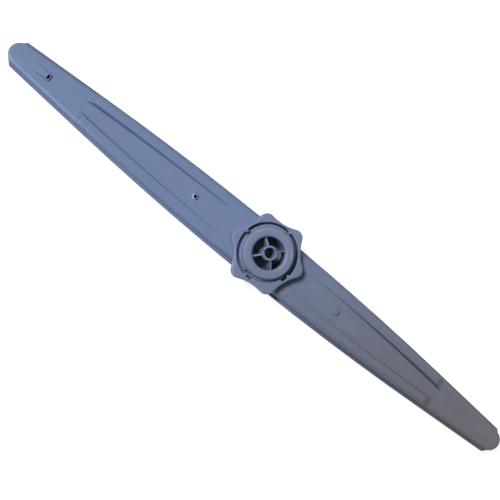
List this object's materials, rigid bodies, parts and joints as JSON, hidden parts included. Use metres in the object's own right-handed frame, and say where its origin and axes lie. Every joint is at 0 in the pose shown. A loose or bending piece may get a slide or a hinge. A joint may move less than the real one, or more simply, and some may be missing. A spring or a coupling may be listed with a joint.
{
  "type": "dishwasher spray arm",
  "caption": "Hollow two-shell spray arm with tapered blades, slotted spray jets, a spoked hub bearing it spins on and a lobed nut that keeps the bearing in.",
  "frame": {"origin": "on the hub's axis, at the plane that the spray jets rest on", "axes": "+X along the arm, away from the scoop nozzle; +Z along the hub's axis, out of the nut side"},
  "size_m": [0.48, 0.057, 0.034],
  "materials": {
    "shell_plastic": "satin grey-blue moulded polypropylene",
    "hub_plastic": "satin grey-blue moulded plastic",
    "nut_plastic": "satin grey-blue moulded plastic"
  },
  "bodies": {
    "hub": {"hub_bearing": "hub_plastic"},
    "arm": {"upper_shell": "shell_plastic", "lower_shell": "shell_plastic"},
    "nut": {"lobed_nut": "nut_plastic"}
  },
  "joints": [
    {"name": "arm_spin", "type": "hinge", "parent": "hub", "child": "arm", "pos_m": [0, 0, 0.016], "axis": [0, 0, 1], "continuous": true},
    {"name": "nut_turn", "type": "hinge", "parent": "arm", "child": "nut", "pos_m": [0, 0, 0.022], "axis": [0, 0, 1], "range_deg": [0, 45]}
  ]
}
